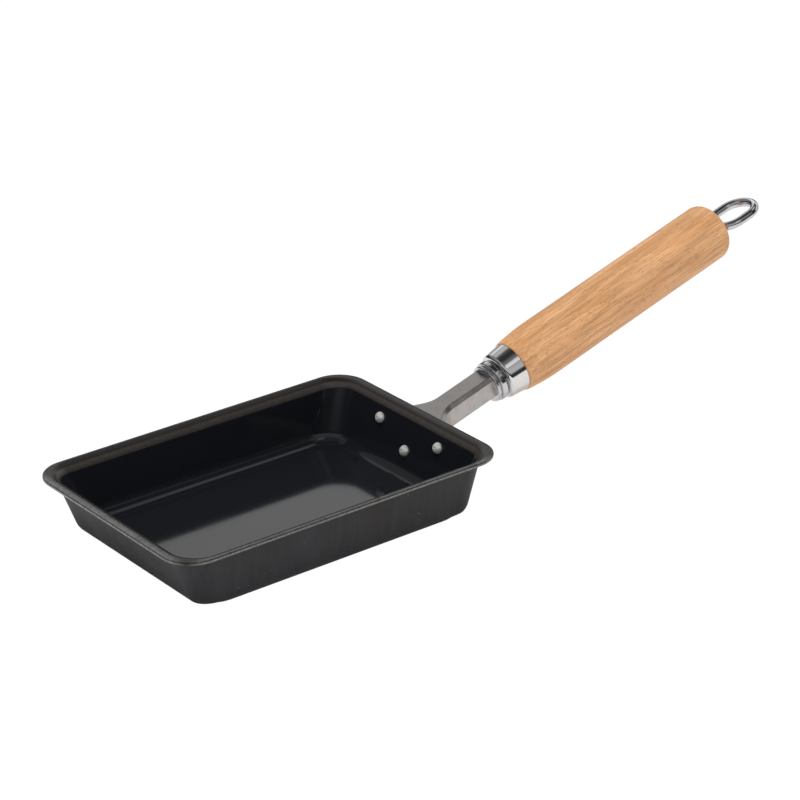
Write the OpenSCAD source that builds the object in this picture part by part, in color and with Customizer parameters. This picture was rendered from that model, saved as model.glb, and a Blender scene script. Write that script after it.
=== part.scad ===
// Rectangular rolled-omelette pan: pressed tray, riveted neck, turned wooden grip, hanging eye.
// Origin at the centre of the tray's underside, +X towards the handle, +Z up, millimetres.

/* [Tray] */
// Length over the rim, towards the handle
pan_l = 175; // [150:1:210]
// Width over the rim
pan_w = 120; // [100:1:150]
// Height from the underside to the top of the rim
pan_h = 29.8; // [27:0.2:40]
// Thickness of the sheet
sheet_t = 1.6; // [1.2:0.1:2]
// Width of the rim beyond its bend, on the handle side and the front
rim_w = 2.5; // [2:0.1:4]
// Width of the rim beyond its bend, on the long sides
side_rim_w = 1; // [0.5:0.1:3]
// Radius where the wall turns over into the rim, on the upper surface
rim_bend_r = 5; // [4:0.1:5.6]
// Radius where the floor turns up into the wall, on the upper surface
floor_bend_r = 6.6; // [4:0.2:8]
// Outward lean of the short wall at the handle, in degrees
end_lean = 16; // [10:0.5:22]
// Outward lean of the short wall away from the handle, in degrees
front_lean = 20.5; // [10:0.5:24]
// Outward lean of the two long walls, in degrees
side_lean = 6.4; // [0:0.2:10]
// Corner radius of the rim, seen from above
rim_corner_r = 15; // [13:0.5:20]
// Corner radius at the top of the walls, seen from above
wall_corner_r = 11.5; // [7:0.5:13]
// Corner radius of the flat floor, seen from above
floor_corner_r = 9; // [4:0.5:11]

/* [Rivets] */
// Radius of the rivet shanks
rivet_r = 1.9; // [1.5:0.1:2.2]
// Radius of the domed heads inside the tray
rivet_head_r = 2.7; // [2.5:0.1:3.2]
// Height of the domed heads
rivet_head_h = 2.4; // [1:0.1:2.5]
// Height of the closed heads outside
rivet_tail_h = 1.1; // [0.8:0.1:1.6]
// Distance of each upper rivet from the middle
rivet_pair_y = 21.3; // [18:0.1:26]
// Depth of the upper rivets below the rim
rivet_drop = 8.9; // [8.8:0.1:10]
// Distance from the upper rivets down the wall to the lower one
rivet_row_gap = 8.9; // [8:0.1:10]
// Radial play of a shank in its hole
rivet_play = 0.05; // [0.02:0.01:0.1]

/* [Bracket] */
// Thickness of the riveted plate
plate_t = 2; // [1.5:0.1:3]
// Margin of plate round each rivet centre
plate_lobe_r = 4.9; // [4.4:0.1:5]
// Depth of the neck's axis below the rim, at the wall
neck_drop = 11.2; // [11:0.1:12]
// Upward tilt of the handle, in degrees
handle_tilt = 16.7; // [8:0.1:17]
// Length of the neck from the wall to the collar
neck_l = 47.2; // [40:0.2:70]
// Width of the neck
neck_w = 12.8; // [12:0.1:14]
// Height of the neck
neck_h = 11.5; // [10:0.1:11.6]
// Height of the neck's middle above the tie rod
neck_rise = 0.7; // [0.4:0.1:0.7]
// Flat on each long edge of the neck
neck_chamfer = 1.6; // [1:0.1:2]
// Thickness of the neck's walls
neck_wall = 1.5; // [1.2:0.1:1.7]
// Extra half width where the neck spreads onto the plate
flare_w = 11.5; // [6:0.5:11.5]
// Length over which the neck spreads
flare_l = 20.5; // [10:0.5:22]
// Length of the threaded plug in the neck's end
plug_l = 12; // [10:0.5:20]

/* [Collar and ferrule] */
// Length of the beaded collar
collar_l = 5.4; // [5:0.1:9]
// Radius of the collar's front bead
bead_r = 9.3; // [8.8:0.1:9.6]
// Width of the front bead
bead_w = 1.6; // [1.2:0.1:2]
// Radius of the collar's rear ring
collar_r = 10; // [9.6:0.1:11]
// Width of the rear ring
collar_ring_w = 3.2; // [2.4:0.1:3.8]
// Length of the spigot that leaves the dark gap before the ferrule
spigot_l = 0.9; // [0.5:0.1:1.5]
// Radius of the spigot
spigot_r = 8.6; // [7:0.1:9]
// Length of the ferrule
ferrule_l = 10.2; // [7:0.2:14]
// Radius of the ferrule at its front
ferrule_front_r = 11.2; // [10.2:0.1:11.6]
// Radius of the ferrule at the grip
ferrule_back_r = 12.3; // [11.8:0.1:13]
// Thickness of the ferrule
ferrule_t = 1; // [0.8:0.1:1.4]
// Radial play of the grip's tenon in the ferrule
tenon_play = 0.1; // [0.05:0.05:0.2]

/* [Grip] */
// Length of wood beyond the ferrule
grip_l = 133.6; // [100:0.2:160]
// Radius of the grip
grip_r = 14.2; // [13.4:0.1:16]
// Length over which the wood swells from the ferrule
swell_l = 15; // [6:0.5:20]
// Rounding of the grip's end
grip_end_r = 6; // [3:0.5:6]
// Radius of the recess in the grip's end
recess_r = 7; // [6.6:0.1:7.4]
// Depth of the recess
recess_d = 2.5; // [2:0.1:4]

/* [Hanging eye] */
// Radius of the wire
wire_r = 2.2; // [2:0.05:2.4]
// Length of the eye, between wire centres
eye_l = 24.2; // [22:0.2:30]
// Width of the eye, between wire centres
eye_w = 18.4; // [17.6:0.2:21]
// Turn of the eye about the handle at rest, in degrees
eye_roll = -8; // [-90:1:90]
// Radial play of the wire through wood, ferrule and collar
rod_play = 0.4; // [0.3:0.05:0.6]
// Radial play of the wire's thread in the plug
thread_play = 0.05; // [0.02:0.01:0.1]
// Length of wire end left free inside the plug
rod_short = 0.6; // [0.2:0.1:2]
// Radius of the end washer
washer_r = 6; // [4.6:0.1:6.2]
// Thickness of the end washer
washer_t = 0.8; // [0.5:0.1:1.2]
// Gap between washer and eye
eye_gap = 0.1; // [0.05:0.05:0.3]

/* [Hidden] */

round_fn = 96;
corner_steps = 8;
bend_steps = 6;
flare_steps = 12;
curve_steps = 8;
// Overrun of every cut beyond the faces it goes through
cut = 1;
// Reach of the neck below the tray's wall before it is trimmed flush
neck_sink = 8;
// Side of the block that trims the neck
trim_size = 80;

// One wall of the tray is its outward lean and the width of its rim beyond the bend
end_wall = [end_lean, rim_w];
side_wall = [side_lean, side_rim_w];
front_wall = [front_lean, rim_w];

// Bends of the tray: the arc angle counts from the flat part to the wall
function bend_run(wall) = wall[1] + rim_bend_r * cos(wall[0]);
function wall_rise(wall) = pan_h - sheet_t - (rim_bend_r + floor_bend_r) * (1 - sin(wall[0]));
function floor_inset(wall) =
    bend_run(wall) + wall_rise(wall) * tan(wall[0]) + floor_bend_r * cos(wall[0]);

// One outline station is [inset from the rim, height]; depth is 0 on the upper surface and
// sheet_t on the lower one
function rim_station(wall, share, depth) =
    let (a = share * (90 - wall[0]), r = rim_bend_r - depth)
    [wall[1] + r * sin(a), pan_h - rim_bend_r + r * cos(a)];
function floor_station(wall, share, depth) =
    let (a = share * (90 - wall[0]), r = floor_bend_r + depth)
    [floor_inset(wall) - r * sin(a), sheet_t + floor_bend_r - r * cos(a)];

// A ring of the tray is a corner radius and the stations of the handle, side and front walls
walls = [end_wall, side_wall, front_wall];
function rim_ring(share, depth) =
    let (stations = [for (wall = walls) rim_station(wall, share, depth)])
    concat([wall_corner_r + bend_run(side_wall) - stations[1][0]], stations);
function floor_ring(share, depth) =
    let (stations = [for (wall = walls) floor_station(wall, share, depth)])
    concat([floor_corner_r + floor_inset(side_wall) - stations[1][0]], stations);
function edge_ring(depth) = concat([rim_corner_r], [for (wall = walls) [0, pan_h - depth]]);

function half_surface(depth) = concat(
    [for (i = [0 : bend_steps]) floor_ring(i / bend_steps, depth)],
    [for (i = [bend_steps : -1 : 0]) rim_ring(i / bend_steps, depth)],
    [edge_ring(depth)]
);
function reversed(list) = [for (i = [len(list) - 1 : -1 : 0]) list[i]];

// Points of one ring, counter-clockwise from above; heights blend round each corner
function ring_points(ring) = [
    for (quarter = [0 : 3], i = [0 : corner_steps])
        let (
            turn = quarter * 90 + i * 90 / corner_steps,
            sx = (quarter == 0 || quarter == 3) ? 1 : -1,
            sy = (quarter < 2) ? 1 : -1,
            r = ring[0],
            short = (sx > 0) ? ring[1] : ring[3],
            long = ring[2],
            blend = pow(sin(turn), 2)
        )
        [
            sx * (pan_l / 2 - short[0] - r) + r * cos(turn),
            sy * (pan_w / 2 - long[0] - r) + r * sin(turn),
            short[1] * (1 - blend) + long[1] * blend
        ]
];

// Closed skin over a stack of rings with equal point counts
module skin(rings) {
    n = len(rings[0]);
    last = (len(rings) - 1) * n;
    bands = [
        for (k = [0 : len(rings) - 2], i = [0 : n - 1])
            let (j = (i + 1) % n, a = k * n, b = a + n)
            each [[a + i, b + i, b + j], [a + i, b + j, a + j]]
    ];
    first_cap = [for (i = [0 : n - 1]) i];
    last_cap = [for (i = [n - 1 : -1 : 0]) last + i];
    polyhedron(points = [for (ring = rings) each ring], faces = concat([first_cap], [last_cap], bands));
}

// Place on the handle-end wall's inner face: local +Z goes out through the wall, +X down it
function wall_x(z) =
    pan_l / 2 - bend_run(end_wall) - (pan_h - rim_bend_r * (1 - sin(end_lean)) - z) * tan(end_lean);
module on_end_wall(y, drop) {
    translate([wall_x(pan_h - drop), y, pan_h - drop])
        rotate([0, 90 + end_lean, 0])
            children();
}
module at_upper_rivet(side) {
    on_end_wall(side * rivet_pair_y, rivet_drop) children();
}
module at_lower_rivet() {
    on_end_wall(0, rivet_drop + rivet_row_gap * cos(end_lean)) children();
}
module at_each_rivet() {
    at_upper_rivet(1) children();
    at_upper_rivet(-1) children();
    at_lower_rivet() children();
}

// Place on the handle's axis, at a distance from the wall's outer face: local +X runs outwards
root_z = pan_h - neck_drop;
handle_root = [wall_x(root_z) + sheet_t * cos(end_lean), 0, root_z - sheet_t * sin(end_lean)];
module on_handle(s) {
    translate(handle_root)
        rotate([0, -handle_tilt, 0])
            translate([s, 0, 0])
                children();
}
// Lathe outlines are drawn as [radius, distance] and turned about the handle's axis
module turned_at(s) {
    on_handle(s)
        rotate([0, 90, 0])
            rotate_extrude($fn = round_fn)
                children();
}

// Stations along the handle
collar_s = neck_l;
ferrule_s = collar_s + collar_l + spigot_l;
grip_s = ferrule_s + ferrule_l;
grip_end_s = grip_s + grip_l;
washer_s = grip_end_s - recess_d;
eye_base_s = washer_s + washer_t + eye_gap + wire_r;
eye_mid_s = eye_base_s + eye_l / 2;
plug_s = neck_l - plug_l;
rod_bore_r = wire_r + rod_play;

module rivet_hole(depth) {
    translate([0, 0, -cut])
        cylinder(r = rivet_r + rivet_play, h = depth + 2 * cut, $fn = round_fn);
}

module pan_body() {
    rings = concat(half_surface(sheet_t), reversed(half_surface(0)));
    color("#262527")
        difference() {
            skin([for (ring = rings) ring_points(ring)]);
            at_each_rivet() rivet_hole(sheet_t);
        }
}

// Cap of a sphere on the plane z = 0, bulging towards -Z
module rivet_dome(r, h) {
    ball_r = (r * r + h * h) / (2 * h);
    rotate([180, 0, 0])
        rotate_extrude($fn = round_fn)
            intersection() {
                translate([0, h - ball_r]) circle(r = ball_r, $fn = round_fn);
                square([r, h]);
            }
}
module rivet() {
    grip = sheet_t + plate_t;
    color("#d8d6d0")
        union() {
            rivet_dome(rivet_head_r, rivet_head_h);
            cylinder(r = rivet_r, h = grip, $fn = round_fn);
            translate([0, 0, grip])
                mirror([0, 0, 1])
                    rivet_dome(rivet_head_r, rivet_tail_h);
        }
}
module rivet_left() { at_upper_rivet(1) rivet(); }
module rivet_right() { at_upper_rivet(-1) rivet(); }
module rivet_lower() { at_lower_rivet() rivet(); }

// Plate outline: a circle round each rivet, joined by the tangents between them
plate_corners = [[0, -rivet_pair_y], [rivet_row_gap, 0], [0, rivet_pair_y]];
function side_tangent(i) =
    let (p = plate_corners[i], q = plate_corners[(i + 1) % 3], d = (q - p) / norm(q - p),
         out = plate_lobe_r * [d[1], -d[0]])
    [p + out, q + out];
module plate_outline() {
    for (p = plate_corners)
        translate(p) circle(r = plate_lobe_r, $fn = round_fn);
    polygon([for (i = [0 : 2]) each side_tangent(i)]);
}

// Cross-section of the neck at a station, an oblong with flats on its long edges
function flare_half_w(s) =
    let (turn = 180 * min(1, max(0, s - plate_t) / flare_l))
    neck_w / 2 + flare_w * (1 + cos(turn)) / 2;
function neck_section(s) =
    let (w = flare_half_w(s), c = neck_chamfer, top = neck_rise + neck_h / 2, foot = top - neck_h)
    [
        [s, w, top - c], [s, w - c, top], [s, c - w, top], [s, -w, top - c],
        [s, -w, foot + c], [s, c - w, foot], [s, w - c, foot], [s, w, foot + c]
    ];
flare_stations = [for (i = [0 : flare_steps]) plate_t + flare_l * i / flare_steps];
neck_stations = concat([-neck_sink], flare_stations, [neck_l]);

module handle_bracket() {
    bore_w = neck_w - 2 * neck_wall;
    bore_h = neck_h - 2 * neck_wall;
    bore_s = plate_t + flare_l / 2;
    color("#a9a6a2")
        difference() {
            union() {
                at_upper_rivet(0)
                    translate([0, 0, sheet_t])
                        linear_extrude(plate_t) plate_outline();
                difference() {
                    on_handle(0) skin([for (s = neck_stations) neck_section(s)]);
                    at_upper_rivet(0)
                        translate([-trim_size / 2, -trim_size / 2, sheet_t - trim_size])
                            cube(trim_size);
                }
            }
            at_each_rivet() {
                rivet_hole(sheet_t + plate_t);
                translate([0, 0, sheet_t + plate_t])
                    cylinder(r = rivet_head_r + rivet_play, h = neck_sink, $fn = round_fn);
            }
            on_handle(bore_s)
                translate([0, -bore_w / 2, neck_rise - bore_h / 2])
                    cube([neck_l - bore_s + cut, bore_w, bore_h]);
        }
}

module neck_plug() {
    plug_w = neck_w - 2 * neck_wall;
    plug_h = neck_h - 2 * neck_wall;
    color("#8d8f92")
        on_handle(plug_s)
            difference() {
                translate([0, -plug_w / 2, neck_rise - plug_h / 2])
                    cube([plug_l, plug_w, plug_h]);
                translate([-cut, 0, 0])
                    rotate([0, 90, 0])
                        cylinder(r = wire_r + thread_play, h = plug_l + 2 * cut, $fn = round_fn);
            }
}

module neck_collar() {
    groove_r = bead_r - bead_w / 2;
    color("#c9c9cb")
        turned_at(collar_s)
            difference() {
                union() {
                    square([groove_r, collar_l]);
                    translate([groove_r, bead_w / 2]) circle(r = bead_w / 2, $fn = round_fn);
                    translate([0, collar_l - collar_ring_w]) square([collar_r, collar_ring_w]);
                    square([spigot_r, collar_l + spigot_l]);
                }
                translate([0, -cut]) square([rod_bore_r, collar_l + spigot_l + 2 * cut]);
            }
}

// Radius of the ferrule's outside at a distance from its front
function ferrule_r(s) = ferrule_front_r + (ferrule_back_r - ferrule_front_r) * s / ferrule_l;
module ferrule() {
    color("#cfcfd1")
        turned_at(ferrule_s)
            polygon([
                [rod_bore_r, 0], [ferrule_r(0), 0], [ferrule_r(ferrule_l), ferrule_l],
                [ferrule_r(ferrule_l) - ferrule_t, ferrule_l],
                [ferrule_r(ferrule_t) - ferrule_t, ferrule_t], [rod_bore_r, ferrule_t]
            ]);
}

// Wood outline: tenon, shoulder, smooth swell, straight grip, rounded end, recess, bore
module wood_handle() {
    tenon_front = ferrule_t + tenon_play;
    swell = grip_r - ferrule_back_r;
    color("#d7a36c")
        turned_at(ferrule_s)
            polygon(concat(
                [
                    [rod_bore_r, tenon_front],
                    [ferrule_r(tenon_front) - ferrule_t - tenon_play, tenon_front],
                    [ferrule_back_r - ferrule_t - tenon_play, ferrule_l],
                    [ferrule_back_r, ferrule_l]
                ],
                [for (i = [1 : curve_steps])
                    [ferrule_back_r + swell * sin(90 * i / curve_steps),
                     ferrule_l + swell_l * i / curve_steps]],
                [for (i = [0 : curve_steps])
                    [grip_r - grip_end_r * (1 - cos(90 * i / curve_steps)),
                     ferrule_l + grip_l - grip_end_r * (1 - sin(90 * i / curve_steps))]],
                [
                    [recess_r, ferrule_l + grip_l], [recess_r, ferrule_l + grip_l - recess_d],
                    [rod_bore_r, ferrule_l + grip_l - recess_d]
                ]
            ));
}

module end_washer() {
    color("#b9babc")
        turned_at(washer_s)
            translate([wire_r + thread_play, 0]) square([washer_r - wire_r - thread_play, washer_t]);
}

// The eye is two half rings joined by straight sides, in the plane of the handle's axis
module hanging_eye() {
    rod_s = plug_s + rod_short;
    bend_r = eye_w / 2;
    side_l = eye_l - eye_w;
    color("#c4c6c9")
        union() {
            on_handle(rod_s)
                rotate([0, 90, 0])
                    cylinder(r = wire_r, h = eye_base_s - rod_s, $fn = round_fn);
            on_handle(eye_mid_s)
                rotate([eye_roll, 0, 0])
                    for (half = [0, 180])
                        rotate([0, 0, half]) {
                            translate([side_l / 2, 0, 0])
                                rotate([0, 0, -90])
                                    rotate_extrude(angle = 180, $fn = round_fn)
                                        translate([bend_r, 0]) circle(r = wire_r, $fn = round_fn);
                            translate([-side_l / 2, bend_r, 0])
                                rotate([0, 90, 0])
                                    cylinder(r = wire_r, h = side_l, $fn = round_fn);
                        }
        }
}

pan_body();
rivet_left();
rivet_right();
rivet_lower();
handle_bracket();
neck_plug();
neck_collar();
ferrule();
wood_handle();
end_washer();
hanging_eye();
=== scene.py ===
"""Looks of a rectangular rolled-omelette pan, built round its packed CAD frame, in metres.

Each operator makes one piece, or a group of like pieces, and puts it on its CAD body.
"""

import math

import bmesh
import bpy
from bpy.props import FloatProperty, FloatVectorProperty, PointerProperty
from mathutils import Matrix, Vector


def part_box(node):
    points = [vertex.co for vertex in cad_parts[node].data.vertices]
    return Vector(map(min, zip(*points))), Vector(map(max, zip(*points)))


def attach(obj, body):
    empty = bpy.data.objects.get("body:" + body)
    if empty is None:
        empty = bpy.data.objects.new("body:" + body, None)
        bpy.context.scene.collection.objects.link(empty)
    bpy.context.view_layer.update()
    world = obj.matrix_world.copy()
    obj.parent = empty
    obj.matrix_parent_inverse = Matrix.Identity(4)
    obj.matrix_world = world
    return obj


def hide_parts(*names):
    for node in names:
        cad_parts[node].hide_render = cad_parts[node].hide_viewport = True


bl_info = {
    "name": "Rolled-omelette Pan",
    "version": (1, 0, 0),
    "blender": (4, 5, 0),
    "location": "3D View > Sidebar > Pan",
    "description": "Builds a coated rectangular pan with a riveted neck and a turned wooden grip",
    "category": "Add Mesh",
}

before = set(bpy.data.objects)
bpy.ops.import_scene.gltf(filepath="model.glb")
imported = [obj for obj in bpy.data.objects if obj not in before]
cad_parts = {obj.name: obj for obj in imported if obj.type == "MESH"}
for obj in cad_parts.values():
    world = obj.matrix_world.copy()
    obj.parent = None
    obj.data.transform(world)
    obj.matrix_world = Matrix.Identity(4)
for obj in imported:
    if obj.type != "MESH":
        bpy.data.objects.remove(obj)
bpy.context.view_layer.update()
TRAY_LOW, TRAY_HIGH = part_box("pan_body")

FULL_TURN = 2 * math.pi
MERGE = 1e-6

# Divisions of the curved parts
CORNER_STEPS = 20
FOLD_STEPS = 12
EDGE_STEPS = 3
LATHE_STEPS = 128
WIRE_SIDES = 32
BEND_STEPS = 28
FLARE_STEPS = 12
GRIP_STEPS = 16
# Edges that turn by more than this are ridges
RIDGE_ANGLE = math.radians(30)
# Reach of the neck below the wall before it is trimmed on the plate
NECK_SINK = 0.008
TENON_PLAY = 0.0001
THREAD_PLAY = 0.00005
FLOOR_GAP = 0.0002
# Share of plain white in the floor as the camera sees it
FLOOR_CLEAR = 0.95


# Sizes and colours


def size(name, description, millimetres):
    """A length, given in millimetres and kept in metres."""
    return FloatProperty(
        name=name, description=description, default=millimetres / 1000,
        min=0.0, subtype="DISTANCE", unit="LENGTH", precision=5,
    )


def angle(name, description, degrees):
    """An angle, given in degrees and kept in radians."""
    return FloatProperty(
        name=name, description=description, default=math.radians(degrees),
        subtype="ANGLE", unit="ROTATION",
    )


def colour(name, description, red, green, blue):
    """A linear colour."""
    return FloatVectorProperty(
        name=name, description=description, default=(red, green, blue),
        size=3, min=0.0, max=1.0, subtype="COLOR",
    )


class TraySizes(bpy.types.PropertyGroup):
    """Sizes of the pressed tray."""

    length: size("Length", "Length over the rim", (TRAY_HIGH.x - TRAY_LOW.x) * 1000)
    width: size("Width", "Width over the rim", (TRAY_HIGH.y - TRAY_LOW.y) * 1000)
    height: size("Height", "Height of the rim over the underside", TRAY_HIGH.z * 1000)
    sheet: size("Sheet", "Thickness of the sheet", 1.6)
    rim_width: size("Rim width", "Width of the end rims beyond their fold", 2.5)
    side_rim: size("Side rim", "Width of the long sides' rims beyond their fold", 1)
    rim_fold: size("Rim fold", "Radius of the fold between wall and rim", 5)
    floor_fold: size("Floor fold", "Radius of the fold between floor and wall", 6.6)
    rim_corner: size("Rim corner", "Radius of the rim's corners from above", 15)
    wall_corner: size("Wall corner", "Radius of the walls' corners at their top", 11.5)
    floor_corner: size("Floor corner", "Radius of the flat floor's corners", 9)
    edge_round: size("Edge round", "Softening of the rim's cut edge", 0.55)
    floor_border: size("Floor border", "Width of the strip that frames the flat floor", 1.5)
    end_lean: angle("End lean", "Outward lean of the wall at the handle", 16)
    front_lean: angle("Front lean", "Outward lean of the wall away from the handle", 20.5)
    side_lean: angle("Side lean", "Outward lean of the long walls", 6.4)
    rim_fall: angle("Rim fall", "Fall of the rim towards its cut edge", 4)


class RivetSizes(bpy.types.PropertyGroup):
    """Sizes and places of the three rivets."""

    shank_radius: size("Shank radius", "Radius of the shanks", 1.9)
    head_radius: size("Head radius", "Radius of the domed heads", 2.7)
    head_height: size("Head height", "Height of the heads inside the tray", 2.4)
    dimple: size("Dimple", "Depth of the setting tool's mark on each head", 0.5)
    tail_height: size("Tail height", "Height of the closed heads outside", 1.1)
    pair_offset: size("Pair offset", "Distance of each upper rivet from the middle", 21.3)
    drop: size("Drop", "Depth of the upper rivets below the rim", 8.9)
    row_gap: size("Row gap", "Way down the wall to the lower rivet", 8.9)


class BracketSizes(bpy.types.PropertyGroup):
    """Sizes of the riveted plate and its neck."""

    plate: size("Plate", "Thickness of the plate", 2)
    lobe_radius: size("Lobe radius", "Margin of plate round each rivet", 4.9)
    neck_length: size("Neck length", "Length from the wall to the collar", 47.2)
    neck_width: size("Neck width", "Width of the neck", 12.8)
    neck_height: size("Neck height", "Height of the neck", 11.5)
    neck_rise: size("Neck rise", "Height of the neck's middle above the tie rod", 0.7)
    neck_flat: size("Neck flat", "Flat on each long edge of the neck", 1.6)
    neck_wall: size("Neck wall", "Thickness of the neck's walls", 1.5)
    flare_width: size("Flare width", "Extra half width at the plate", 11.5)
    flare_length: size("Flare length", "Length over which the neck spreads", 20.5)
    edge_round: size("Edge round", "Softening of the bracket's edges", 0.3)


class HandleSizes(bpy.types.PropertyGroup):
    """Sizes of the turned parts on the handle's axis."""

    root: FloatVectorProperty(
        name="Root", description="Where the handle's axis leaves the tray's wall",
        default=(0.0795587, 0.0, 0.018159), size=3, subtype="TRANSLATION", unit="LENGTH",
    )
    tilt: angle("Tilt", "Upward tilt of the handle", 16.7)
    collar_length: size("Collar length", "Length of the beaded collar", 5.4)
    bead_radius: size("Bead radius", "Radius of the collar's front bead", 9.3)
    bead_width: size("Bead width", "Width of the front bead", 1.6)
    collar_radius: size("Collar radius", "Radius of the collar's rear ring", 10)
    ring_width: size("Ring width", "Width of the rear ring", 3.2)
    spigot_length: size("Spigot length", "Length of the dark gap before the ferrule", 0.9)
    spigot_radius: size("Spigot radius", "Radius of the spigot in the gap", 8.6)
    ferrule_length: size("Ferrule length", "Length of the polished cup", 10.2)
    ferrule_front: size("Ferrule front", "Radius of the cup at its front", 11.2)
    ferrule_back: size("Ferrule back", "Radius of the cup at the wood", 12.3)
    ferrule_sheet: size("Ferrule sheet", "Thickness of the cup", 1)
    ferrule_round: size("Ferrule round", "Rounding of the cup's front shoulder", 2)
    grip_length: size("Grip length", "Length of wood beyond the ferrule", 133.6)
    grip_radius: size("Grip radius", "Radius of the grip", 14.2)
    swell_length: size("Swell length", "Length over which the wood swells", 18)
    shoulder: size("Shoulder", "Rounded step of the wood over the ferrule", 0.55)
    end_round: size("End round", "Rounding of the grip's end", 6)
    recess_radius: size("Recess radius", "Radius of the recess in the grip's end", 7)
    recess_depth: size("Recess depth", "Depth of the recess", 2.5)
    bore_radius: size("Bore radius", "Radius of the bore for the tie rod", 2.6)


class EyeSizes(bpy.types.PropertyGroup):
    """Sizes of the tie rod, its hanging eye and the washer under it."""

    wire_radius: size("Wire radius", "Radius of the wire", 2.2)
    length: size("Length", "Length of the eye between wire centres", 24.2)
    width: size("Width", "Width of the eye between wire centres", 18.4)
    roll: angle("Roll", "Turn of the eye about the handle at rest", -8)
    rod_start: size("Rod start", "Where the rod begins, from the wall", 35.8)
    base: size("Base", "Where the eye begins, from the wall", 197.9)
    washer_radius: size("Washer radius", "Radius of the end washer", 6)
    washer_sheet: size("Washer sheet", "Thickness of the end washer", 0.8)
    washer_place: size("Washer place", "Where the washer lies, from the wall", 194.8)


class PanColours(bpy.types.PropertyGroup):
    """Colours of the finishes."""

    coat: colour("Cooking coat", "Glossy coat inside", 0.0105, 0.0115, 0.0145)
    rim_coat: colour("Rim coat", "Coat where the press has stretched it", 0.0215, 0.0185, 0.0165)
    skin: colour("Outer coat", "Satin coat outside", 0.021, 0.021, 0.024)
    skin_brown: colour("Baked tint", "Warm tint baked into the outer coat", 0.026, 0.0215, 0.0195)
    speck: colour("Specks", "Small pale specks on the outer coat", 0.085, 0.08, 0.075)
    steel: colour("Neck steel", "Satin steel of the neck", 0.49, 0.465, 0.45)
    rivet: colour("Rivets", "Bright rivets", 0.92, 0.92, 0.90)
    plate: colour("Plating", "Polished collar, ferrule and eye", 0.66, 0.655, 0.68)
    plug: colour("Plug steel", "Machined steel inside", 0.42, 0.42, 0.43)
    wood_pale: colour("Pale beech", "Light streaks of the wood", 0.82, 0.45, 0.22)
    wood_deep: colour("Deep beech", "Darker streaks of the wood", 0.69, 0.345, 0.145)
    wood_fleck: colour("Beech fleck", "Short dark rays in the wood", 0.36, 0.155, 0.055)
    floor: colour("Floor", "Pale studio floor", 0.92, 0.92, 0.92)


# Shader helpers


class Wire:
    """A shader socket that takes part in Python arithmetic."""

    def __init__(self, finish, socket):
        self.finish = finish
        self.socket = socket

    def _math(self, operation, first, second):
        return self.finish.node(
            "ShaderNodeMath", {"operation": operation}, {0: first, 1: second}
        )

    def __add__(self, other):
        return self._math("ADD", self, other)

    def __radd__(self, other):
        return self._math("ADD", other, self)

    def __sub__(self, other):
        return self._math("SUBTRACT", self, other)

    def __rsub__(self, other):
        return self._math("SUBTRACT", other, self)

    def __mul__(self, other):
        return self._math("MULTIPLY", self, other)

    def __rmul__(self, other):
        return self._math("MULTIPLY", other, self)

    def __truediv__(self, other):
        return self._math("DIVIDE", self, other)

    def __pow__(self, other):
        return self._math("POWER", self, other)

    def ramp(self, low, high, start=0.0, end=1.0):
        """Straight ramp from start at low to end at high, held beyond both."""
        return self.finish.node(
            "ShaderNodeMapRange", {"interpolation_type": "SMOOTHSTEP"},
            {"Value": self, "From Min": low, "From Max": high, "To Min": start, "To Max": end},
        )


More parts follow.
